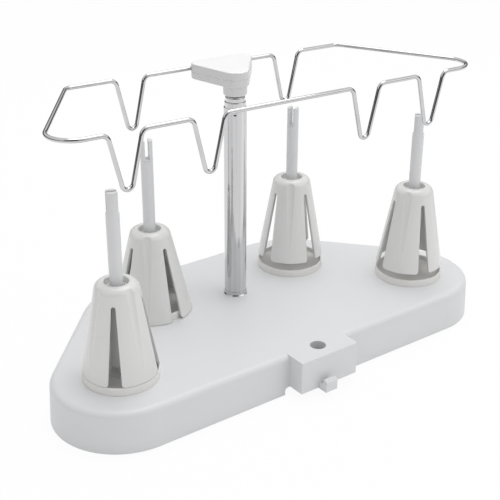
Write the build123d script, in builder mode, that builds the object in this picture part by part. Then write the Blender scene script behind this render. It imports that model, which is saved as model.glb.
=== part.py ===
# Four-spool thread rack: a hollow base with four spool pins, slotted spool cones,
# a telescopic pole and a bent wire thread guide that turns on the pole.
# Millimetres, +Z up. The origin is on the resting plane, under the pole's axis.
# -Y is the front, where the connecting block stands out of the base.
from build123d import *
import math
import os

os.makedirs("parts", exist_ok=True)

# Shared clearances and overruns
cut_overrun = 5.0
running_gap = 0.05
thread_gap = 0.03
seat_gap = 0.3
loose_gap = 0.4

# Base housing
foot_stand = 0.6
base_height = 28.6
base_wall = 2.4
base_roof = 2.6
base_draft_deg = 2.8
base_edge_r = 4.4
front_corner_x = 127.0
front_corner_y = -51.0
front_corner_r = 47.0
back_corner_x = 57.0
back_corner_y = -0.9
back_corner_r = 65.9
rib_thick = 1.6
rib_height = 11.0

# Connecting block at the front of the base
block_width = 48.2
block_reach = 12.1
block_height = 23.6
block_root = 7.0
block_edge_r = 0.8
block_hole_r = 5.5
block_hole_wall = 2.3
block_hole_back = 13.4
notch_side = 4.4
notch_corner_r = 2.6
well_wall = 1.6
well_room = 1.0

# Hook at the block's front face, with its root behind the face
hook_left = 8.7
hook_right = 0.5
hook_reach = 7.5
hook_bottom = 4.7
hook_height = 9.2
hook_arm_height = 4.4
hook_barb_depth = 3.2
hook_edge_r = 0.6
hook_root_thick = 2.9
hook_plate_left = 18.0
hook_plate_back = 10.0
hook_plate_lift = 1.1
hook_plate_thick = 3.4
hook_screw_x = -13.6
hook_screw_back = 6.5
hook_post_r = 3.4

# Bottom cover, feet and their screws
cover_thick = 2.0
cover_recess = 1.3
foot_r = 7.0
foot_pocket = 0.8
foot_edge_r = 0.5
foot_front_share = 0.3
foot_back_share = 0.5
screw_r = 1.45
screw_head_r = 2.9
screw_head_height = 1.5
screw_length = 9.0
screw_recess = 1.6
post_r = 3.6
post_inset = 9.5
post_pilot_depth = 9.0
front_post_turns = (205.0, 300.0)
back_post_turns = (70.0, 150.0)
drive_width = 0.8
drive_depth = 0.7
drive_span = 3.2

# Spool stations
front_station_x = 127.0
front_station_y = -52.0
back_station_x = 63.1
back_station_y = 14.9

# Spool trays
tray_r = 25.0
tray_rim = 1.4
tray_height = 5.4
tray_floor = 2.0
tray_edge_r = 0.6
tray_corner_r = 1.0

# Spool pins
pin_r = 4.25
pin_top_height = 127.6
pin_shank_r = 3.0
pin_shank_depth = 14.0
pin_foot_r = 7.3
pin_foot_height = 2.2
pin_foot_edge = 1.0
pin_end_length = 14.0
pin_end_half = 3.4
pin_slot_width = 3.0
pin_slot_depth = 13.0
pin_boss_r = 7.0
pin_boss_floor = 3.0
pin_screw_r = 1.5
pin_screw_length = 13.0
pin_screw_head_r = 3.0
pin_screw_head_height = 2.0
pin_pilot_depth = 12.0
pin_washer_r = 4.6
pin_washer_thick = 0.8

# Spool cones and their grip rings
cone_height = 62.6
cone_bottom_r = 24.9
cone_top_r = 13.6
cone_shoulder_r = 5.6
cone_mouth_r = 7.8
cone_mouth_edge = 0.8
cone_wall = 1.95
cone_recess = 4.4
cone_web = 4.8
cone_tube_r = 7.5
cone_bore_gap = 0.5
cone_lip = 0.6
cone_lip_reach = 0.45
slot_top_width = 2.8
slot_foot_width = 8.8
slot_top_drop = 10.6
slot_count = 4
flute_r = 5.0
flute_depth = 1.2
flute_low = 10.0
flute_overrun = 4.0
finger_corner_r = 2.2
grip_r = 6.4
grip_height = 6.0

# Telescopic pole
outer_tube_r = 8.0
outer_tube_wall = 0.8
middle_tube_r = 6.6
inner_tube_r = 5.4
thin_tube_wall = 0.6
middle_end_show = 3.8
outer_end_height = 3.6
outer_end_r = 7.4
outer_end_edge_r = 0.6
middle_bead_r = 6.9
bead_edge_r = 1.3
swage_length = 3.2
swage_run = 0.8
pole_seat_depth = 17.6
pole_boss_r = 11.5
pole_boss_floor = 2.5
pole_ring_foot_r = 8.8
pole_ring_top_r = 8.25
pole_ring_height = 3.0
pole_ring_flare = 0.9
sleeve_length = 12.0
sleeve_gap = 0.03
middle_tube_lift = 4.0
inner_tube_lift = 2.5
pole_plug_length = 11.0
pole_screw_r = 2.5
pole_screw_length = 12.0
pole_screw_head_r = 4.4
pole_screw_head_height = 3.0
pole_washer_r = 8.0
pole_washer_thick = 1.0
dimple_drop = 7.6
dimple_depth = 0.45
dimple_r = 2.6
dimple_turn_deg = 234.0

# Guide head
head_tip_r = 9.6
head_left_x = -10.5
head_right_x = 23.0
head_end_y = 27.5
head_end_r = 7.0
head_cap_height = 5.9
head_body_height = 5.1
head_edge_r = 1.4
head_seam = 0.3
neck_r = 8.6
neck_height = 6.7
neck_taper_deg = 2.5
neck_edge_r = 1.3
body_edge_r = 0.9
neck_gap = 0.5
pivot_floor = 2.2
pivot_pocket_r = 5.0
pivot_screw_r = 1.5
pivot_screw_length = 9.0
pivot_head_r = 3.6
pivot_head_height = 1.5
pivot_plug_length = 11.0
pivot_flange = 0.6
head_screw_left_x = -3.0
head_screw_right_x = 15.0
head_screw_y = 19.5
head_screw_length = 6.2
head_screw_recess = 1.7

# Wire guide
guide_turn_deg = -3.4
wire_r = 1.45
wire_height = 165.4
wire_front_y = -67.4
wire_back_y = 31.6
wire_front_x = 169.9
wire_back_x = 110.2
outer_dip_x = 116.4
inner_dip_x = 60.1
back_dip_x = 63.5
front_dip_half = 11.3
back_dip_half = 10.9
dip_depth = 35.75
dip_foot_share = 0.26
dip_top_bend_r = 5.0
dip_foot_bend_r = 4.0
wire_front_bend_r = 16.0
wire_back_bend_r = 7.0
wire_end_gap = 3.0

# Places worked out from the sizes above
base_top = foot_stand + base_height
cover_bottom = foot_stand + cover_recess
cover_top = cover_bottom + cover_thick
front_face_y = front_corner_y - front_corner_r
block_front_y = front_face_y - block_reach
block_back_y = front_face_y + block_root
block_bottom = base_top - block_height
block_hole_y = block_front_y + block_hole_back
hook_face_y = block_front_y + base_wall
well_half = block_width / 2 + notch_side + well_wall
well_front_y = front_face_y + base_wall / 2
well_back_y = block_hole_y + block_hole_r + block_hole_wall + well_room + well_wall
hook_plate_bottom = hook_bottom + hook_plate_lift
hook_plate_top = hook_plate_bottom + hook_plate_thick
hook_screw_y = hook_face_y + hook_screw_back
cavity_top = base_top - base_roof
pin_boss_bottom = base_top - pin_shank_depth - pin_boss_floor
pin_foot_bottom = base_top + tray_floor
pin_foot_top = pin_foot_bottom + pin_foot_height
pin_top = base_top + pin_top_height
outer_bore_r = outer_tube_r - outer_tube_wall
middle_bore_r = middle_tube_r - thin_tube_wall
inner_bore_r = inner_tube_r - thin_tube_wall
pole_foot = base_top - pole_seat_depth
pole_boss_bottom = pole_foot - pole_boss_floor
middle_foot = pole_foot + pole_plug_length + middle_tube_lift
inner_foot = middle_foot + inner_tube_lift
wire_z = base_top + wire_height
parting_z = wire_z - wire_r - running_gap
head_bottom = parting_z - head_body_height
neck_bottom = head_bottom - neck_height
middle_top = neck_bottom - neck_gap
outer_top = middle_top - middle_end_show
pivot_pocket_z = parting_z - pivot_head_height - seat_gap - running_gap
socket_top = pivot_pocket_z - pivot_floor
inner_top = socket_top - pivot_flange - running_gap
guide_turn = Location((0, 0, 0), (0, 0, guide_turn_deg))

stations = {
    "front_left": (-front_station_x, front_station_y),
    "front_right": (front_station_x, front_station_y),
    "back_left": (-back_station_x, back_station_y),
    "back_right": (back_station_x, back_station_y),
}
# One cone is pressed down round its tray, which springs its fingers apart; the others stand
# on their trays' rims or above them
pressed_station = "back_left"
# How far each cone stands up on its pin, and how far it and its pin's end are turned
cone_raises = {"front_left": 0.0, "front_right": 4.7, "back_left": 0.0, "back_right": 5.3}
cone_turns = {"front_left": 231.5, "front_right": 253.0, "back_left": 277.0, "back_right": 274.5}
pin_turns = {"front_left": -20.0, "front_right": -45.0, "back_left": 69.0, "back_right": 30.0}


def base_outline(inset):
    # The base's plan: the hull of two front corner circles and two back corner circles
    with BuildSketch(mode=Mode.PRIVATE) as plan:
        with Locations((-front_corner_x, front_corner_y), (front_corner_x, front_corner_y)):
            Circle(front_corner_r - inset)
        with Locations((-back_corner_x, back_corner_y), (back_corner_x, back_corner_y)):
            Circle(back_corner_r - inset)
        make_hull()
    return plan.sketch


def corner_place(side, corner_x, corner_y, reach, turn):
    # A point at a distance and an angle from a corner circle's middle
    x = corner_x - reach * math.cos(math.radians(turn))
    y = corner_y + reach * math.sin(math.radians(turn))
    return (side * x, y)


def post_places():
    # Cover screw posts, inset from the rounded corners of the plan
    places = []
    for side in (-1, 1):
        for turn in front_post_turns:
            reach = front_corner_r - post_inset
            places.append(corner_place(side, front_corner_x, front_corner_y, reach, turn))
        for turn in back_post_turns:
            reach = back_corner_r - post_inset
            places.append(corner_place(side, back_corner_x, back_corner_y, reach, turn))
    return places


def foot_places():
    # One foot under each end of the front and two under the back
    front = front_corner_y - foot_front_share * front_corner_r
    back = back_corner_y + foot_back_share * back_corner_r
    return [(-front_corner_x, front), (front_corner_x, front),
            (-back_corner_x, back), (back_corner_x, back)]


def ring(outer, inner, low, high):
    # A plain round ring on the Z axis, from height low to height high
    with BuildPart(mode=Mode.PRIVATE) as body:
        with BuildSketch(Plane.XY.offset(low)):
            Circle(outer)
            Circle(inner, mode=Mode.SUBTRACT)
        extrude(amount=high - low)
    return body.part


def turned(points):
    # The solid made by turning a closed outline of (radius, height) points about Z
    with BuildPart(mode=Mode.PRIVATE) as body:
        with BuildSketch(Plane.XZ):
            with BuildLine():
                Polyline(*points, close=True)
            make_face()
        revolve(axis=Axis.Z)
    return body.part


def headed_screw(shank, head, head_height, length):
    # A screw with its head's outer face at z = 0 and its shank pointing down
    with BuildPart(mode=Mode.PRIVATE) as screw:
        Cylinder(shank, length, align=(Align.CENTER, Align.CENTER, Align.MAX))
        Cylinder(head, head_height, align=(Align.CENTER, Align.CENTER, Align.MAX))
        with BuildSketch(Plane.XY):
            Rectangle(drive_span, drive_width)
            Rectangle(drive_width, drive_span)
        extrude(amount=-drive_depth, mode=Mode.SUBTRACT)
    return screw.part


def placed_group(part, places, height, upside_down=False):
    # Copies of one fastener, kept as separate solids of one group
    flip = (180, 0, 0) if upside_down else (0, 0, 0)
    return Compound([part.moved(Location((x, y, height), flip)) for x, y in places])


def save(part, name):
    part.label = name
    export_step(part, "parts/" + name + ".step")


# Housing: drafted skin, front block, bosses, posts and ribs
with BuildPart() as housing:
    with BuildSketch(Plane.XY.offset(foot_stand)):
        add(base_outline(0))
    extrude(amount=base_height, taper=base_draft_deg)
    fillet(housing.edges().group_by(Axis.Z)[-1], base_edge_r)
    with BuildSketch(Plane.XY.offset(block_bottom)):
        with Locations((0, block_front_y)):
            Rectangle(block_width, block_reach + block_root, align=(Align.CENTER, Align.MIN))
    extrude(amount=block_height)
    # The hollow under the roof, open below
    with BuildSketch(Plane.XY.offset(foot_stand)):
        add(base_outline(base_wall))
    extrude(amount=base_height - base_roof, taper=base_draft_deg, mode=Mode.SUBTRACT)
    # The hollow of the block, open below and into the base behind it
    with BuildSketch(Plane.XY.offset(block_bottom)):
        with Locations((0, hook_face_y)):
            Rectangle(block_width - 2 * base_wall, block_reach + block_root,
                      align=(Align.CENTER, Align.MIN))
    extrude(amount=block_height - base_roof, mode=Mode.SUBTRACT)
    # Walls that close the space behind the block
    with BuildSketch(Plane.XY.offset(cover_bottom)):
        with Locations((0, well_front_y)):
            Rectangle(2 * well_half, well_back_y - well_front_y, align=(Align.CENTER, Align.MIN))
            Rectangle(2 * (well_half - well_wall), well_back_y - well_front_y - well_wall,
                      align=(Align.CENTER, Align.MIN), mode=Mode.SUBTRACT)
    extrude(amount=cavity_top - cover_bottom)
    # The front wall's lower edge is cut away across the block
    with BuildSketch(Plane.XZ.offset(-block_back_y)) as notch:
        with Locations((0, foot_stand)):
            Rectangle(block_width + 2 * notch_side, 2 * (block_bottom - foot_stand))
        fillet(notch.vertices().group_by(Axis.Y)[-1], notch_corner_r)
    extrude(amount=block_reach, mode=Mode.SUBTRACT)
    # Tube round the block's upright hole, and the post of the hook's screw
    with BuildSketch(Plane.XY.offset(block_bottom)):
        with Locations((0, block_hole_y)):
            Circle(block_hole_r + block_hole_wall)
    extrude(amount=block_height)
    with BuildSketch(Plane.XY.offset(hook_plate_top)):
        with Locations((hook_screw_x, hook_screw_y)):
            Circle(hook_post_r)
    extrude(amount=cavity_top - hook_plate_top)
    # Bosses of the pins and of the pole, posts of the cover's screws
    with BuildSketch(Plane.XY.offset(pin_boss_bottom)):
        with Locations(*stations.values()):
            Circle(pin_boss_r)
    extrude(amount=cavity_top - pin_boss_bottom)
    with BuildSketch(Plane.XY.offset(pole_boss_bottom)):
        Circle(pole_boss_r)
    extrude(amount=cavity_top - pole_boss_bottom)
    with BuildSketch(Plane.XY.offset(cover_top)):
        with Locations(*post_places()):
            Circle(post_r)
    extrude(amount=cavity_top - cover_top)
    # Ribs from the pole's boss to the pins' bosses and to the block's tube
    with BuildSketch(Plane.XY.offset(cavity_top - rib_height)):
        for x, y in list(stations.values()) + [(0, block_hole_y)]:
            with Locations(Location((x / 2, y / 2, 0), (0, 0, math.degrees(math.atan2(y, x))))):
                Rectangle(math.hypot(x, y), rib_thick)
    extrude(amount=rib_height)
    # Holes for the block, the pins, the pole and the screws
    with Locations((0, block_hole_y, base_top)):
        Hole(block_hole_r, depth=block_height + cut_overrun)
    with Locations(*[(x, y, base_top) for x, y in stations.values()]):
        Hole(pin_shank_r + running_gap, depth=pin_shank_depth)
        Hole(pin_screw_r + running_gap, depth=base_height)
    with Locations((0, 0, base_top)):
        Hole(outer_tube_r + running_gap, depth=pole_seat_depth)
        Hole(pole_screw_r + running_gap, depth=base_height)
    with BuildSketch(Plane.XY.offset(cover_top)):
        with Locations(*post_places()):
            Circle(screw_r + thread_gap)
    extrude(amount=post_pilot_depth, mode=Mode.SUBTRACT)
    with BuildSketch(Plane.XY.offset(hook_plate_top)):
        with Locations((hook_screw_x, hook_screw_y)):
            Circle(screw_r + thread_gap)
    extrude(amount=post_pilot_depth, mode=Mode.SUBTRACT)
    # Window of the hook's arm through the block's front wall
    with BuildSketch(Plane.XY.offset(block_bottom)):
        with Locations((-hook_left - running_gap, block_front_y)):
            Rectangle(hook_left + hook_right + 2 * running_gap, 2 * (base_wall + running_gap),
                      align=(Align.MIN, Align.CENTER))
    extrude(amount=hook_bottom + hook_arm_height + running_gap - block_bottom,
            mode=Mode.SUBTRACT)
    front_edges = housing.edges().filter_by(Axis.Z).filter_by_position(
        Axis.Y, block_front_y - running_gap, block_front_y + running_gap).sort_by(Axis.X)
    fillet([front_edges[0], front_edges[-1]], block_edge_r)

# The bay at the housing's front, which holds the block and the walls round it
with BuildPart() as block_bay:
    with BuildSketch():
        with Locations((0, well_back_y)):
            Rectangle(2 * well_half, well_back_y - block_front_y + cut_overrun,
                      align=(Align.CENTER, Align.MAX))
    extrude(amount=base_top + cut_overrun)

# Base shell: the housing outside the bay
with BuildPart() as base_shell:
    add(housing.part)
    add(block_bay.part, mode=Mode.SUBTRACT)
save(base_shell.part, "base_shell")

# Connecting block: the housing inside the bay, face to face with the shell
with BuildPart() as connecting_block:
    add(housing.part)
    add(block_bay.part, mode=Mode.INTERSECT)
save(connecting_block.part, "connecting_block")

# Hook: arm through the front wall, raised barb, root plate screwed up behind the wall
with BuildPart() as coupling_hook:
    with BuildSketch(Plane.YZ.offset(-hook_left)):
        with BuildLine():
            Polyline(
                (hook_face_y + hook_root_thick, hook_plate_bottom),
                (hook_face_y, hook_bottom),
                (block_front_y - hook_reach + hook_edge_r, hook_bottom),
                (block_front_y - hook_reach, hook_bottom + hook_edge_r),
                (block_front_y - hook_reach, hook_bottom + hook_height - hook_barb_depth / 2),
                (block_front_y - hook_reach + hook_barb_depth / 2, hook_bottom + hook_height),
                (block_front_y - hook_reach + hook_barb_depth, hook_bottom + hook_height),
                (block_front_y - hook_reach + hook_barb_depth, hook_bottom + hook_arm_height),
                (hook_face_y + hook_root_thick, hook_bottom + hook_arm_height),
                close=True,
            )
        make_face()
    extrude(amount=hook_left + hook_right)
    with BuildSketch(Plane.XY.offset(hook_plate_bottom)):
        with Locations((-hook_plate_left, hook_face_y + running_gap)):
            Rectangle(hook_plate_left - hook_left, hook_plate_back, align=(Align.MIN, Align.MIN))
    extrude(amount=hook_plate_thick)
    with Locations((hook_screw_x, hook_screw_y, hook_plate_top)):
        Hole(screw_r + running_gap, depth=hook_plate_thick)
    with Locations((hook_screw_x, hook_screw_y, hook_plate_bottom + screw_head_height)):
        Hole(screw_head_r + running_gap, depth=hook_plate_thick)
save(coupling_hook.part, "coupling_hook")

small_screw = headed_screw(screw_r, screw_head_r, screw_head_height, screw_length)
hook_screw = placed_group(small_screw, [(hook_screw_x, hook_screw_y)], hook_plate_bottom, True)
save(hook_screw, "hook_screw")

# Bottom cover, set into the skirt, with pockets for the feet and the screws' heads
with BuildPart() as base_cover:
    with BuildSketch(Plane.XY.offset(cover_bottom)):
        add(base_outline(base_wall + loose_gap))
    extrude(amount=cover_thick)
    with BuildSketch(Plane.XY.offset(cover_bottom)):
        with Locations(*foot_places()):
            Circle(foot_r + running_gap)
    extrude(amount=foot_pocket, mode=Mode.SUBTRACT)
    with BuildSketch(Plane.XY.offset(cover_bottom)):
        with Locations(*post_places()):
            Circle(screw_r + running_gap)
    extrude(amount=cover_thick, mode=Mode.SUBTRACT)
    # Cut back round the walls behind the block
    with BuildSketch(Plane.XY.offset(cover_bottom)):
        with Locations((0, front_face_y)):
            Rectangle(2 * (well_half + loose_gap), well_back_y + loose_gap - front_face_y,
                      align=(Align.CENTER, Align.MIN))
    extrude(amount=cover_thick, mode=Mode.SUBTRACT)
save(base_cover.part, "base_cover")

cover_screws = placed_group(small_screw, post_places(), cover_bottom - screw_head_height, True)
save(cover_screws, "cover_screws")

# Rubber feet, let into the cover
with BuildPart() as rubber_feet:
    with BuildSketch():
        with Locations(*foot_places()):
            Circle(foot_r)
    extrude(amount=cover_bottom + foot_pocket)
    fillet(rubber_feet.edges().group_by(Axis.Z)[0], foot_edge_r)
save(Compound(rubber_feet.part.solids()), "rubber_feet")

# Spool trays
with BuildPart() as tray:
    with BuildSketch():
        Circle(tray_r)
        Circle(pin_shank_r + running_gap, mode=Mode.SUBTRACT)
    extrude(amount=tray_floor)
    with BuildSketch():
        Circle(tray_r)
        Circle(tray_r - tray_rim, mode=Mode.SUBTRACT)
    extrude(amount=tray_height)
    fillet(tray.edges().group_by(Axis.Z)[-1], tray_edge_r)
    floor_edge = tray.edges().filter_by(GeomType.CIRCLE).filter_by_position(
        Axis.Z, tray_floor - running_gap, tray_floor + running_gap).sort_by(SortBy.RADIUS)[-1]
    fillet(floor_edge, tray_corner_r)

# Spool pins: shank, foot, and a flattened, slotted end
with BuildPart() as pin:
    with BuildSketch(Plane.XY.offset(-pin_shank_depth)):
        Circle(pin_shank_r)
    extrude(amount=pin_shank_depth + tray_floor)
    with BuildSketch(Plane.XY.offset(tray_floor)):
        Circle(pin_foot_r)
    extrude(amount=pin_foot_height)
    fillet(pin.edges().group_by(Axis.Z)[-1], pin_foot_edge)
    with BuildSketch(Plane.XY.offset(tray_floor)):
        Circle(pin_r)
    extrude(amount=pin_top_height - tray_floor)
    with BuildSketch(Plane.XY.offset(pin_top_height)):
        Rectangle(2 * pin_foot_r, pin_slot_width)
    extrude(amount=-pin_slot_depth, mode=Mode.SUBTRACT)
    with BuildSketch(Plane.XY.offset(pin_top_height)):
        Circle(pin_foot_r)
        Rectangle(2 * pin_end_half, 2 * pin_foot_r, mode=Mode.SUBTRACT)
    extrude(amount=-pin_end_length, mode=Mode.SUBTRACT)
    with BuildSketch(Plane.XY.offset(-pin_shank_depth)):
        Circle(pin_screw_r + thread_gap)
    extrude(amount=pin_pilot_depth, mode=Mode.SUBTRACT)

# Grip ring: runs on the pin and is held in the cone
grip_ring = ring(grip_r, pin_r + running_gap, -grip_height, 0)

# Heights in a cone, from its bottom
web_top = cone_height - cone_recess
web_bottom = web_top - cone_web
seat_top = web_top - cone_lip
seat_bottom = seat_top - grip_height - 2 * running_gap
slot_top = cone_height - slot_top_drop
# Round the tray and down on the base, the cone's tube just clears the pin's foot
tube_bottom = tray_floor + pin_foot_height


def spool_cone(foot_r_out):
    # A spool cone with its bottom at z = 0 and the given outer radius there
    slope = (foot_r_out - cone_top_r) / cone_height
    flute_foot = Vector(foot_r_out - slope * flute_low + flute_r, 0, flute_low)
    flute_head = Vector(cone_top_r - flute_depth + flute_r, 0, cone_height)
    flute_way = flute_head - flute_foot
    with BuildPart(mode=Mode.PRIVATE) as flute:
        with BuildSketch(Plane(origin=flute_foot, z_dir=flute_way)):
            Circle(flute_r)
        extrude(amount=flute_way.length + flute_overrun)
    with BuildPart(mode=Mode.PRIVATE) as cone:
        with BuildSketch(Plane.XZ) as profile:
            with BuildLine():
                Polyline(
                    (foot_r_out, 0),
                    (cone_top_r, cone_height),
                    (cone_mouth_r, cone_height),
                    (cone_mouth_r, web_top),
                    (pin_r + cone_bore_gap, web_top),
                    (pin_r + cone_bore_gap, tube_bottom),
                    (cone_tube_r, tube_bottom),
                    (cone_tube_r, web_bottom),
                    (foot_r_out - slope * web_bottom - cone_wall, web_bottom),
                    (foot_r_out - cone_wall, 0),
                    close=True,
                )
            make_face()
            top_corners = profile.vertices().group_by(Axis.Y)[-1].sort_by(Axis.X)
            fillet(top_corners[-1], cone_shoulder_r)
            top_corners = profile.vertices().group_by(Axis.Y)[-1].sort_by(Axis.X)
            fillet(top_corners[0], cone_mouth_edge)
        revolve(axis=Axis.Z)
        # Seat of the grip ring, closed above by a small lip
        with BuildSketch(Plane.XY.offset(seat_bottom)):
            Circle(grip_r + running_gap)
        extrude(amount=seat_top - seat_bottom, mode=Mode.SUBTRACT)
        with BuildSketch(Plane.XY.offset(seat_top)):
            Circle(grip_r - cone_lip_reach)
        extrude(amount=cone_lip, mode=Mode.SUBTRACT)
        # A shallow flute down the middle of each finger, which runs out above its foot
        with PolarLocations(0, slot_count, start_angle=180 / slot_count):
            add(flute.part, mode=Mode.SUBTRACT)
        # Tapering slots, round at the top and open at the bottom
        for turn in range(slot_count):
            slot_turn = turn * 360 / slot_count
            with BuildSketch(Plane.XZ.rotated((0, 0, slot_turn)).offset(cone_tube_r)):
                with BuildLine():
                    Polyline(
                        (-slot_foot_width / 2, 0),
                        (-slot_top_width / 2, slot_top - slot_top_width / 2),
                        (slot_top_width / 2, slot_top - slot_top_width / 2),
                        (slot_foot_width / 2, 0),
                        close=True,
                    )
                make_face()
                with Locations((0, slot_top - slot_top_width / 2)):
                    Circle(slot_top_width / 2)
            extrude(amount=foot_r_out, mode=Mode.SUBTRACT)
        foot_edges = cone.edges().group_by(Axis.Z)[0].filter_by(GeomType.LINE)
        fillet(foot_edges, finger_corner_r)
    return cone.part


# The pressed cone's fingers clear the tray's rim, which stands this share of its height inside it
rim_share = (tray_height - seat_gap) / cone_height
pressed_r = (tray_r + seat_gap + cone_wall - cone_top_r * rim_share) / (1 - rim_share)
free_cone = spool_cone(cone_bottom_r)
pressed_cone = spool_cone(pressed_r)
rim_foot = base_top + tray_height + seat_gap
pressed_foot = base_top + seat_gap
for name, (x, y) in stations.items():
    save(tray.part.moved(Location((x, y, base_top))), name + "_tray")
    save(pin.part.moved(Location((x, y, base_top), (0, 0, pin_turns[name]))), name + "_pin")
    pressed = name == pressed_station
    cone = pressed_cone if pressed else free_cone
    foot_z = (pressed_foot if pressed else rim_foot) + cone_raises[name]
    save(cone.moved(Location((x, y, foot_z), (0, 0, cone_turns[name]))), name + "_cone")
    grip_top = foot_z + seat_top - running_gap
    save(grip_ring.moved(Location((x, y, grip_top))), name + "_grip")

# Screws and washers under the pins
pin_screw = headed_screw(pin_screw_r, pin_screw_head_r, pin_screw_head_height, pin_screw_length)
pin_washer = ring(pin_washer_r, pin_screw_r + running_gap, 0, pin_washer_thick)
washer_bottom = pin_boss_bottom - pin_washer_thick
save(placed_group(pin_screw, stations.values(), washer_bottom - pin_screw_head_height, True),
     "pin_screws")
save(placed_group(pin_washer, stations.values(), washer_bottom), "pin_washers")

# Outer tube: a plain tube with a drawn-in, rounded end and a dimple in its side
outer_shoulder = outer_top - outer_end_height
outer_swage_r = middle_tube_r + running_gap
with BuildPart() as pole_outer_tube:
    add(turned([
        (outer_bore_r, pole_foot),
        (outer_tube_r, pole_foot),
        (outer_tube_r, outer_shoulder - swage_run),
        (outer_end_r, outer_shoulder),
        (outer_end_r, outer_top),
        (outer_swage_r, outer_top),
        (outer_swage_r, outer_top - swage_length),
        (outer_bore_r, outer_top - swage_length - swage_run),
    ]))
    fillet(pole_outer_tube.edges().group_by(Axis.Z)[-1].sort_by(SortBy.RADIUS)[-1], outer_end_edge_r)
    with Locations((0, 0, outer_top - dimple_drop)):
        with Locations(Rot(0, 0, dimple_turn_deg)):
            with Locations((outer_tube_r + dimple_r - dimple_depth, 0, 0)):
                Sphere(dimple_r, mode=Mode.SUBTRACT)
save(pole_outer_tube.part, "pole_outer_tube")

# Middle tube, with a bead that comes to rest over the outer tube's end
middle_bead_bottom = outer_top + seat_gap
middle_swage_r = inner_tube_r + running_gap
with BuildPart() as pole_middle_tube:
    add(turned([
        (middle_bore_r, middle_foot),
        (middle_tube_r, middle_foot),
        (middle_tube_r, middle_bead_bottom),
        (middle_bead_r, middle_bead_bottom),
        (middle_bead_r, middle_top),
        (middle_swage_r, middle_top),
        (middle_swage_r, middle_top - swage_length),
        (middle_bore_r, middle_top - swage_length - swage_run),
    ]))
    fillet(pole_middle_tube.edges().group_by(Axis.Z)[-1].sort_by(SortBy.RADIUS)[-1], bead_edge_r)
save(pole_middle_tube.part, "pole_middle_tube")

pole_inner_tube = ring(inner_tube_r, inner_bore_r, inner_foot, inner_top)
save(pole_inner_tube, "pole_inner_tube")

# Friction sleeves at the lower ends of the middle and the inner tube
middle_sleeve = ring(outer_bore_r - running_gap, middle_tube_r + sleeve_gap,
                     middle_foot, middle_foot + sleeve_length)
save(middle_sleeve, "middle_tube_sleeve")
inner_sleeve = ring(middle_bore_r - running_gap, inner_tube_r + sleeve_gap,
                    inner_foot, inner_foot + sleeve_length)
save(inner_sleeve, "inner_tube_sleeve")

# Plug, screw and washer that hold the pole in the base, and the ring round its foot
with BuildPart() as pole_plug:
    add(ring(outer_bore_r - thread_gap, pole_screw_r + thread_gap,
             pole_foot, pole_foot + pole_plug_length))
save(pole_plug.part, "pole_plug")
pole_washer = ring(pole_washer_r, pole_screw_r + running_gap,
                   pole_boss_bottom - pole_washer_thick, pole_boss_bottom)
save(pole_washer, "pole_washer")
pole_screw = headed_screw(pole_screw_r, pole_screw_head_r, pole_screw_head_height,
                          pole_screw_length)
pole_screw_foot = pole_boss_bottom - pole_washer_thick - pole_screw_head_height
save(placed_group(pole_screw, [(0, 0)], pole_screw_foot, True), "pole_screw")
pole_foot_ring = turned([
    (outer_tube_r + running_gap, base_top),
    (pole_ring_foot_r, base_top),
    (pole_ring_top_r, base_top + pole_ring_flare),
    (pole_ring_top_r, base_top + pole_ring_height),
    (outer_tube_r + running_gap, base_top + pole_ring_height),
])
save(pole_foot_ring, "pole_foot_ring")

# Swivel plug in the inner tube, and the screw on which the head turns
with BuildPart() as swivel_plug:
    add(ring(inner_bore_r - thread_gap, pivot_screw_r + thread_gap,
             inner_top - pivot_plug_length, inner_top))
    add(ring(inner_tube_r, pivot_screw_r + thread_gap, inner_top, inner_top + pivot_flange))
save(swivel_plug.part, "swivel_plug")
pivot_screw = headed_screw(pivot_screw_r, pivot_head_r, pivot_head_height, pivot_screw_length)
pivot_screw_top = pivot_pocket_z + running_gap + pivot_head_height
save(placed_group(pivot_screw, [(0, 0)], pivot_screw_top), "pivot_screw")


def head_outline(inset):
    # The head's plan: the hull of the tip over the pole and the two ends on the wire
    with BuildSketch(mode=Mode.PRIVATE) as plan:
        Circle(head_tip_r - inset)
        with Locations((head_left_x, head_end_y), (head_right_x, head_end_y)):
            Circle(head_end_r - inset)
        make_hull()
    return plan.sketch


head_screw_places = [(head_screw_left_x, head_screw_y), (head_screw_right_x, head_screw_y)]

# Lower half of the head, with the neck that turns on the inner tube
with BuildPart() as head_body:
    with BuildSketch(Plane.XY.offset(head_bottom)):
        add(head_outline(0))
    extrude(amount=head_body_height)
    fillet(head_body.edges().group_by(Axis.Z)[0], body_edge_r)
    with BuildSketch(Plane.XY.offset(parting_z)):
        Circle(neck_r)
    extrude(amount=neck_bottom - parting_z, taper=neck_taper_deg)
    fillet(head_body.edges().group_by(Axis.Z)[0], neck_edge_r)
    chamfer(head_body.edges().group_by(Axis.Z)[-1], head_seam)
    with BuildSketch(Plane.XY.offset(neck_bottom)):
        Circle(inner_tube_r + running_gap)
    extrude(amount=socket_top - neck_bottom, mode=Mode.SUBTRACT)
    with Locations((0, 0, parting_z)):
        Hole(pivot_screw_r + running_gap, depth=head_body_height)
        Hole(pivot_pocket_r, depth=parting_z - pivot_pocket_z)
    with BuildSketch(Plane.XY.offset(head_bottom)):
        with Locations(*head_screw_places):
            Circle(screw_r + running_gap)
    extrude(amount=head_body_height, mode=Mode.SUBTRACT)
    with BuildSketch(Plane.XY.offset(head_bottom)):
        with Locations(*head_screw_places):
            Circle(screw_head_r + running_gap)
    extrude(amount=head_screw_recess, mode=Mode.SUBTRACT)
save(head_body.part.moved(guide_turn), "head_body")

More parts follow.
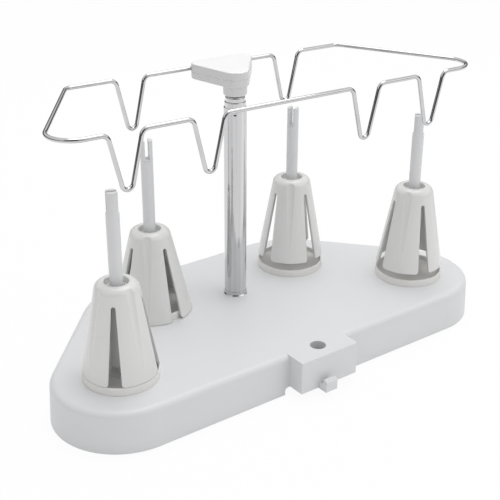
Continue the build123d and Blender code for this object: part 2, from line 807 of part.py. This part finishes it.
# Upper half of the head, grooved below for the wire
with BuildPart() as head_cap:
    with BuildSketch(Plane.XY.offset(parting_z)):
        add(head_outline(0))
    extrude(amount=head_cap_height)
    fillet(head_cap.edges().group_by(Axis.Z)[-1], head_edge_r)
    chamfer(head_cap.edges().group_by(Axis.Z)[0], head_seam)
    with BuildSketch(Plane.YZ) as groove:
        with Locations((wire_back_y, wire_z)):
            Circle(wire_r + thread_gap)
        with Locations((wire_back_y, parting_z)):
            Rectangle(2 * (wire_r + thread_gap), wire_z - parting_z,
                      align=(Align.CENTER, Align.MIN))
    extrude(amount=2 * head_right_x, both=True, mode=Mode.SUBTRACT)
    with BuildSketch(Plane.XY.offset(parting_z)):
        with Locations(*head_screw_places):
            Circle(screw_r + thread_gap)
    extrude(amount=head_screw_length + head_screw_recess - head_body_height,
            mode=Mode.SUBTRACT)
save(head_cap.part.moved(guide_turn), "head_cap")

head_screw = headed_screw(screw_r, screw_head_r, screw_head_height, head_screw_length)
head_screw_z = head_bottom + head_screw_recess - screw_head_height
head_screws = placed_group(head_screw, head_screw_places, head_screw_z, True)
save(head_screws.moved(guide_turn), "head_screws")


def dip(middle, half, y, direction):
    # The four corners of one thread dip, met in the given direction along the wire
    foot = half * dip_foot_share
    low = wire_z - dip_depth
    return [
        ((middle - direction * half, y, wire_z), dip_top_bend_r),
        ((middle - direction * foot, y, low), dip_foot_bend_r),
        ((middle + direction * foot, y, low), dip_foot_bend_r),
        ((middle + direction * half, y, wire_z), dip_top_bend_r),
    ]


def bent_wire(corners, start, end):
    # A path of straight runs and arcs; at a corner the tangent length is r * tan(turn / 2)
    places = [Vector(*start)] + [Vector(*place) for place, bend in corners] + [Vector(*end)]
    here = places[0]
    with BuildLine(mode=Mode.PRIVATE) as path:
        for index, (place, bend) in enumerate(corners):
            corner = places[index + 1]
            arriving = (corner - places[index]).normalized()
            leaving = (places[index + 2] - corner).normalized()
            turn = math.radians(arriving.get_angle(leaving))
            tangent = bend * math.tan(turn / 2)
            arc_start = corner - arriving * tangent
            arc_end = corner + leaving * tangent
            inward = (leaving - arriving).normalized()
            arc_middle = corner + inward * (bend / math.cos(turn / 2) - bend)
            Line(here, arc_start)
            ThreePointArc(arc_start, arc_middle, arc_end)
            here = arc_end
        Line(here, places[-1])
    return path.line


# Wire guide: one wire, from the head's middle round the front and back to the head
head_middle_x = (head_left_x + head_right_x) / 2
wire_corners = dip(back_dip_x, back_dip_half, wire_back_y, 1)
wire_corners += [((wire_back_x, wire_back_y, wire_z), wire_back_bend_r)]
wire_corners += [((wire_front_x, wire_front_y, wire_z), wire_front_bend_r)]
for middle in (outer_dip_x, inner_dip_x, -inner_dip_x, -outer_dip_x):
    wire_corners += dip(middle, front_dip_half, wire_front_y, -1)
wire_corners += [((-wire_front_x, wire_front_y, wire_z), wire_front_bend_r)]
wire_corners += [((-wire_back_x, wire_back_y, wire_z), wire_back_bend_r)]
wire_corners += dip(-back_dip_x, back_dip_half, wire_back_y, 1)
wire_start = (head_middle_x + wire_end_gap, wire_back_y, wire_z)
wire_end = (head_middle_x - wire_end_gap, wire_back_y, wire_z)
wire_path = bent_wire(wire_corners, wire_start, wire_end)
with BuildPart() as wire_guide:
    with BuildSketch(Plane(origin=wire_start, z_dir=(1, 0, 0))):
        Circle(wire_r)
    sweep(path=wire_path)
save(wire_guide.part.moved(guide_turn), "wire_guide")
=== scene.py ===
import math
import bpy
import numpy as np
from mathutils import Matrix, Vector

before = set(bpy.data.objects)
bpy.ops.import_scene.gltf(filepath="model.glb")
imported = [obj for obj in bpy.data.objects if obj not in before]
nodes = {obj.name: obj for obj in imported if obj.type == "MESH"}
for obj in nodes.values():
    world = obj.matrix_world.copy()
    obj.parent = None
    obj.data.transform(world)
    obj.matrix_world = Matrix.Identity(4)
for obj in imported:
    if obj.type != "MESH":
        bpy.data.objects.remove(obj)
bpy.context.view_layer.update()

stationNames = ("front_left", "front_right", "back_left", "back_right")


def atStations(ending):
    # the names of one kind of piece at the four spool stations
    return [station + ending for station in stationNames]


# Small helpers for shader nodes
def newMaterial(name):
    material = bpy.data.materials.new(name)
    material.use_nodes = True
    tree = material.node_tree
    tree.nodes.clear()
    output = tree.nodes.new("ShaderNodeOutputMaterial")
    shader = tree.nodes.new("ShaderNodeBsdfPrincipled")
    tree.links.new(shader.outputs["BSDF"], output.inputs["Surface"])
    return material, tree, shader


def setOrLink(tree, socket, value):
    # a plain number is set on the socket, anything else is linked to it
    if isinstance(value, float):
        socket.default_value = value
    else:
        tree.links.new(value, socket)


def calculate(tree, operation, first, second):
    # one sum, difference, product or larger of two sockets or numbers
    step = tree.nodes.new("ShaderNodeMath")
    step.operation = operation
    setOrLink(tree, step.inputs[0], first)
    setOrLink(tree, step.inputs[1], second)
    return step.outputs[0]


def between(tree, value, low, high, atLow, atHigh, course="SMOOTHSTEP"):
    # runs from atLow to atHigh while value goes from low to high, and stays level outside
    run = tree.nodes.new("ShaderNodeMapRange")
    run.interpolation_type = course
    run.inputs["From Min"].default_value = low
    run.inputs["From Max"].default_value = high
    run.inputs["To Min"].default_value = atLow
    run.inputs["To Max"].default_value = atHigh
    tree.links.new(value, run.inputs["Value"])
    return run.outputs["Result"]


def mixColour(tree, factor, first, second):
    # first is a colour or a socket, second is a colour
    mix = tree.nodes.new("ShaderNodeMix")
    mix.data_type = "RGBA"
    if isinstance(first, tuple):
        mix.inputs["A"].default_value = (*first, 1.0)
    else:
        tree.links.new(first, mix.inputs["A"])
    mix.inputs["B"].default_value = (*second, 1.0)
    tree.links.new(factor, mix.inputs["Factor"])
    return mix.outputs["Result"]


def noise(tree, coords, pattern, stretch=None):
    # a noise pattern (scale, detail, roughness) in object space, if wanted stretched along the axes
    if stretch is not None:
        mapping = tree.nodes.new("ShaderNodeMapping")
        mapping.inputs["Scale"].default_value = stretch
        tree.links.new(coords, mapping.inputs["Vector"])
        coords = mapping.outputs["Vector"]
    texture = tree.nodes.new("ShaderNodeTexNoise")
    for socket, value in zip(("Scale", "Detail", "Roughness"), pattern):
        texture.inputs[socket].default_value = value
    tree.links.new(coords, texture.inputs["Vector"])
    return texture.outputs["Fac"]


noiseMiddle = (0.3, 0.7)    # where nearly all values of a noise pattern lie


def spread(tree, pattern, low, high):
    # stretches the middle of a noise pattern to low..high
    return between(tree, pattern, *noiseMiddle, low, high, "LINEAR")


bevelSamples = 6            # rays that look for a near edge


def addRelief(tree, shader, height, strength, depth, edgeRadius=0.0):
    # relief from a pattern, on normals that run softly round the edges
    bump = tree.nodes.new("ShaderNodeBump")
    if edgeRadius > 0.0:
        edge = tree.nodes.new("ShaderNodeBevel")
        edge.samples = bevelSamples
        edge.inputs["Radius"].default_value = edgeRadius
        tree.links.new(edge.outputs["Normal"], bump.inputs["Normal"])
    bump.inputs["Strength"].default_value = strength
    bump.inputs["Distance"].default_value = depth
    tree.links.new(height, bump.inputs["Height"])
    tree.links.new(bump.outputs["Normal"], shader.inputs["Normal"])


# Moulded plastic and rubber. Colours are linear, sizes are metres.
# shade is the colour's darker cloud, grain the fineness of the surface and depth its relief.
# The body's own edges are rounded in the solid; edgeRadius 0 keeps its two nodes one surface.
plasticLook = {
    "bodyPlastic": {
        "colour": (0.74, 0.745, 0.755), "shade": (0.72, 0.725, 0.735),
        "roughness": 0.42, "grain": 1500.0, "depth": 0.00004, "gloss": 0.45, "edgeRadius": 0.0,
        "pieces": ["base_shell", "connecting_block", "coupling_hook"] + atStations("_pin")},
    "conePlastic": {
        "colour": (0.77, 0.77, 0.76), "shade": (0.745, 0.745, 0.735),
        "roughness": 0.22, "grain": 1800.0, "depth": 0.000004, "gloss": 0.6,
        "pieces": atStations("_cone")},
    "trayPlastic": {
        "colour": (0.84, 0.835, 0.81), "shade": (0.82, 0.81, 0.785),
        "roughness": 0.5, "grain": 1500.0, "depth": 0.00004, "gloss": 0.45,
        "pieces": atStations("_tray") + atStations("_grip")},
    # the head's colour is darkened as painted shade on its sides, and its upward faces get a paler
    # painted highlight
    "headPlastic": {
        "colour": (0.71, 0.71, 0.71), "shade": (0.69, 0.69, 0.69), "paintedTopLight": (0.96, 0.96, 0.96),
        "roughness": 0.3, "grain": 1500.0, "depth": 0.000006, "gloss": 0.55,
        "pieces": ["head_body", "head_cap"]},
    "undersidePlastic": {
        "colour": (0.55, 0.55, 0.54), "shade": (0.52, 0.52, 0.51),
        "roughness": 0.55, "grain": 1200.0, "depth": 0.00005, "gloss": 0.45,
        "pieces": ["base_cover"]},
    "greyPlastic": {
        "colour": (0.12, 0.12, 0.125), "shade": (0.10, 0.10, 0.105),
        "roughness": 0.5, "grain": 1500.0, "depth": 0.00004, "gloss": 0.45,
        "pieces": ["pole_plug", "middle_tube_sleeve", "inner_tube_sleeve", "swivel_plug"]},
    "footRubber": {
        "colour": (0.025, 0.025, 0.025), "shade": (0.018, 0.018, 0.018),
        "roughness": 0.75, "grain": 2500.0, "depth": 0.00006, "gloss": 0.3,
        "pieces": ["rubber_feet"]},
}
mouldingLook = {
    "cloud": (22.0, 4.0, 0.55),         # noise scale, detail and roughness
    "glossPatches": (60.0, 3.0, 0.5), "leastRoughness": 0.94, "mostRoughness": 1.1,
    "grainDetail": (2.0, 0.6), "reliefStrength": 0.35, "edgeRadius": 0.0007,
    "paintedTopLightRise": (0.35, 0.95),          # upward part of the normal at which the painted top light comes in
}


def mouldedPlastic(name, look):
    # faint clouding of the colour, uneven gloss, a fine spark-eroded grain, and where a painted top
    # light is given, that paler colour on the faces that look straight up, as a painted highlight
    material, tree, shader = newMaterial(name)
    coords = tree.nodes.new("ShaderNodeTexCoord").outputs["Object"]
    tint = mixColour(tree, noise(tree, coords, mouldingLook["cloud"]), look["colour"], look["shade"])
    # painted highlight: faces that look up are mixed towards a paler colour, as if lit from above
    if "paintedTopLight" in look:
        facing = tree.nodes.new("ShaderNodeSeparateXYZ")
        tree.links.new(tree.nodes.new("ShaderNodeNewGeometry").outputs["Normal"], facing.inputs[0])
        rise = between(tree, facing.outputs["Z"], *mouldingLook["paintedTopLightRise"], 0.0, 1.0)
        tint = mixColour(tree, rise, tint, look["paintedTopLight"])
    tree.links.new(tint, shader.inputs["Base Color"])
    patches = noise(tree, coords, mouldingLook["glossPatches"])
    tree.links.new(spread(tree, patches, look["roughness"] * mouldingLook["leastRoughness"],
                          look["roughness"] * mouldingLook["mostRoughness"]), shader.inputs["Roughness"])
    addRelief(tree, shader, noise(tree, coords, (look["grain"], *mouldingLook["grainDetail"])),
              mouldingLook["reliefStrength"], look["depth"],
              look.get("edgeRadius", mouldingLook["edgeRadius"]))
    shader.inputs["Specular IOR Level"].default_value = look["gloss"]
    return material


# Bright plating. stretch draws the marks out along an axis, darkest is the share of the
# colour left in the dark bands, and wave is how far the bands bend the mirror image.
metalLook = {
    "chromePlate": {
        "colour": (0.69, 0.69, 0.70), "roughness": 0.06, "stretch": (1.0, 1.0, 0.01),
        "darkest": 0.78, "wave": 0.00012,
        "pieces": ["pole_outer_tube", "pole_middle_tube", "pole_inner_tube", "pole_foot_ring"]},
    "wirePlate": {
        "colour": (0.64, 0.64, 0.65), "roughness": 0.05, "stretch": (0.3, 0.3, 0.3),
        "darkest": 0.93, "wave": 0.000002,
        "pieces": ["wire_guide"]},
    "zincPlate": {
        "colour": (0.56, 0.57, 0.60), "roughness": 0.28, "stretch": (1.0, 1.0, 1.0),
        "darkest": 0.93, "wave": 0.00002,
        "pieces": ["cover_screws", "hook_screw", "pin_screws", "pin_washers", "pole_screw",
                   "pole_washer", "pivot_screw", "head_screws"]},
}
platingLook = {
    "marks": (900.0, 2.0, 0.5), "bands": (380.0, 1.0, 0.4),    # noise scale, detail and roughness
    "leastRoughness": 0.7, "mostRoughness": 1.6, "waveStrength": 0.5,
}


def plated(name, look):
    # bands of darker metal that also bend the mirror image, and finer marks of uneven gloss
    material, tree, shader = newMaterial(name)
    coords = tree.nodes.new("ShaderNodeTexCoord").outputs["Object"]
    marks = noise(tree, coords, platingLook["marks"], look["stretch"])
    bands = noise(tree, coords, platingLook["bands"], look["stretch"])
    darker = tuple(v * look["darkest"] for v in look["colour"])
    tree.links.new(mixColour(tree, spread(tree, bands, 0.0, 1.0), darker, look["colour"]),
                   shader.inputs["Base Color"])
    tree.links.new(spread(tree, marks, look["roughness"] * platingLook["leastRoughness"],
                          look["roughness"] * platingLook["mostRoughness"]), shader.inputs["Roughness"])
    addRelief(tree, shader, bands, platingLook["waveStrength"], look["wave"])
    shader.inputs["Metallic"].default_value = 1.0
    return material


for finishes, make in ((plasticLook, mouldedPlastic), (metalLook, plated)):
    for name, look in finishes.items():
        finish = make(name, look)
        for piece in look["pieces"]:
            nodes[piece].data.materials.clear()
            nodes[piece].data.materials.append(finish)
print("materials done")

# Floor, sky and lamps, in metres and watts
stageLook = {
    "floorSize": 24.0, "floorHeight": -0.0002,
    "floorColour": (0.93, 0.93, 0.93),
    "floorWhiteShare": 0.94,    # how much of the floor's brightness is plain white to the camera
    "skyColour": (0.8, 0.8, 0.8), "worldStrength": 0.80,
    "overhead": 1.1,            # strength of the sky straight above, as metal mirrors it
    "sheetEdge": (1.4, 1.8),    # how far the white sheet runs before the dark of the room
    "horizon": (0.17, 0.38),    # height on the unit sky at which the dark turns white
    "roomDark": 0.90,
    "figure": (-0.52, -0.71, 0.47), "figureEdge": (0.86, 0.92),  # a dark shape at the camera's side
    "lampAim": (0.0, -0.02, 0.08),
    "lamps": {
        "keyLamp": {"power": 11.6, "size": 1.2, "place": (0.35, 0.15, 1.6)},
        "fillLamp": {"power": 2.4, "size": 1.4, "place": (0.9, -1.3, 0.7)},
    },
}
backdropRays = ("Is Camera Ray", "Is Glossy Ray", "Is Transmission Ray")


def sheet(name, size, height):
    # a level square centred under the object: corners at plus and minus one, times half its size
    mesh = bpy.data.meshes.new(name)
    corners = np.array([(-1, -1, 0), (1, -1, 0), (1, 1, 0), (-1, 1, 0)], float) * size / 2
    corners[:, 2] = height
    mesh.from_pydata(corners.tolist(), [], [(0, 1, 2, 3)])
    item = bpy.data.objects.new(name, mesh)
    bpy.context.scene.collection.objects.link(item)
    return item


def rayShare(tree, names):
    # one for rays of the named kinds and zero for all others
    paths = tree.nodes.new("ShaderNodeLightPath")
    found = paths.outputs[names[0]]
    for name in names[1:]:
        found = calculate(tree, "MAXIMUM", found, paths.outputs[name])
    return found


# The floor is white to the camera. Mirrored in metal it is a white sheet that ends in a dark room.
floor = sheet("floor", stageLook["floorSize"], stageLook["floorHeight"])
floorMaterial = bpy.data.materials.new("floorPaper")
floorMaterial.use_nodes = True
tree = floorMaterial.node_tree
tree.nodes.clear()
floorOut = tree.nodes.new("ShaderNodeOutputMaterial")
floorLit = tree.nodes.new("ShaderNodeBsdfDiffuse")
floorLit.inputs["Color"].default_value = (*stageLook["floorColour"], 1.0)
floorWhite = tree.nodes.new("ShaderNodeEmission")
away = tree.nodes.new("ShaderNodeVectorMath")
away.operation = "LENGTH"
tree.links.new(tree.nodes.new("ShaderNodeTexCoord").outputs["Object"], away.inputs[0])
beyond = between(tree, away.outputs["Value"], *stageLook["sheetEdge"], 0.0, 1.0)
mirroredBeyond = calculate(tree, "MULTIPLY", beyond, rayShare(tree, ("Is Glossy Ray",)))
darkness = calculate(tree, "MULTIPLY", mirroredBeyond, stageLook["roomDark"])
tree.links.new(calculate(tree, "SUBTRACT", 1.0, darkness), floorWhite.inputs["Strength"])
whiteShare = between(tree, mirroredBeyond, 0.0, 1.0, stageLook["floorWhiteShare"], 1.0)
floorMix = tree.nodes.new("ShaderNodeMixShader")
tree.links.new(calculate(tree, "MULTIPLY", rayShare(tree, backdropRays), whiteShare),
               floorMix.inputs["Fac"])
tree.links.new(floorLit.outputs[0], floorMix.inputs[1])
tree.links.new(floorWhite.outputs[0], floorMix.inputs[2])
tree.links.new(floorMix.outputs[0], floorOut.inputs["Surface"])
floor.data.materials.append(floorMaterial)

# The sky is an even soft light, and a little brighter to the camera and in mirrors. Mirrored in
# metal it is brightest overhead, dark near the horizon and dark where the figure stands.
world = bpy.data.worlds.new("studio")
bpy.context.scene.world = world
world.use_nodes = True
tree = world.node_tree
tree.nodes.clear()
worldOut = tree.nodes.new("ShaderNodeOutputWorld")
worldSky = tree.nodes.new("ShaderNodeBackground")
worldSky.inputs["Color"].default_value = (*stageLook["skyColour"], 1.0)
skyward = tree.nodes.new("ShaderNodeTexCoord").outputs["Generated"]
toSky = tree.nodes.new("ShaderNodeSeparateXYZ")
tree.links.new(skyward, toSky.inputs[0])
toFigure = tree.nodes.new("ShaderNodeVectorMath")
toFigure.operation = "DOT_PRODUCT"
tree.links.new(skyward, toFigure.inputs[0])
toFigure.inputs[1].default_value = stageLook["figure"]
mirrored = rayShare(tree, ("Is Glossy Ray",))
lowDark = between(tree, toSky.outputs["Z"], *stageLook["horizon"], stageLook["roomDark"], 0.0)
figureDark = between(tree, toFigure.outputs["Value"], *stageLook["figureEdge"], 0.0,
                     stageLook["roomDark"])
dark = calculate(tree, "MULTIPLY", calculate(tree, "MAXIMUM", lowDark, figureDark), mirrored)
plain = between(tree, rayShare(tree, backdropRays), 0.0, 1.0, stageLook["worldStrength"], 1.0)
above = between(tree, toSky.outputs["Z"], stageLook["horizon"][1], 1.0, 0.0,
                stageLook["overhead"] - 1.0)
bright = calculate(tree, "ADD", plain, calculate(tree, "MULTIPLY", above, mirrored))
tree.links.new(calculate(tree, "SUBTRACT", bright, dark), worldSky.inputs["Strength"])
tree.links.new(worldSky.outputs[0], worldOut.inputs["Surface"])

for name, look in stageLook["lamps"].items():
    data = bpy.data.lights.new(name, "AREA")
    data.shape = "DISK"
    data.size = look["size"]
    data.energy = look["power"]
    lamp = bpy.data.objects.new(name, data)
    bpy.context.scene.collection.objects.link(lamp)
    lamp.location = look["place"]
    aim = Vector(stageLook["lampAim"]) - Vector(look["place"])
    lamp.rotation_mode = "QUATERNION"
    lamp.rotation_quaternion = aim.to_track_quat("-Z", "Y")
print("stage done")

# Camera, where the photograph was taken from: degrees round from the front, down and about its axis
cameraLook = {
    "azimuth": 36.226, "elevation": 25.279, "roll": 0.269,
    "target": (-0.01956, -0.04478, 0.08597), "distance": 0.700,    # metres
    "lens": 73.84, "sensorWidth": 36.0,                            # millimetres
    "nearest": 0.01, "farthest": 100.0,                            # metres
}
azimuth = math.radians(cameraLook["azimuth"])
elevation = math.radians(cameraLook["elevation"])
roll = math.radians(cameraLook["roll"])
ahead = Vector((math.sin(azimuth) * math.cos(elevation), math.cos(azimuth) * math.cos(elevation),
                -math.sin(elevation)))
level = Vector((math.cos(azimuth), -math.sin(azimuth), 0.0))
upright = level.cross(ahead)
across = level * math.cos(roll) + upright * math.sin(roll)
upward = upright * math.cos(roll) - level * math.sin(roll)
cameraData = bpy.data.cameras.new("camera")
cameraData.sensor_width = cameraLook["sensorWidth"]
cameraData.lens = cameraLook["lens"]
cameraData.clip_start = cameraLook["nearest"]
cameraData.clip_end = cameraLook["farthest"]
camera = bpy.data.objects.new("camera", cameraData)
bpy.context.scene.collection.objects.link(camera)
stand = Vector(cameraLook["target"]) - ahead * cameraLook["distance"]
turn = Matrix((across, upward, -ahead)).transposed()
camera.matrix_world = Matrix.Translation(stand) @ turn.to_4x4()
bpy.context.scene.camera = camera
bpy.context.scene.view_settings.view_transform = "Standard"
print("camera done")
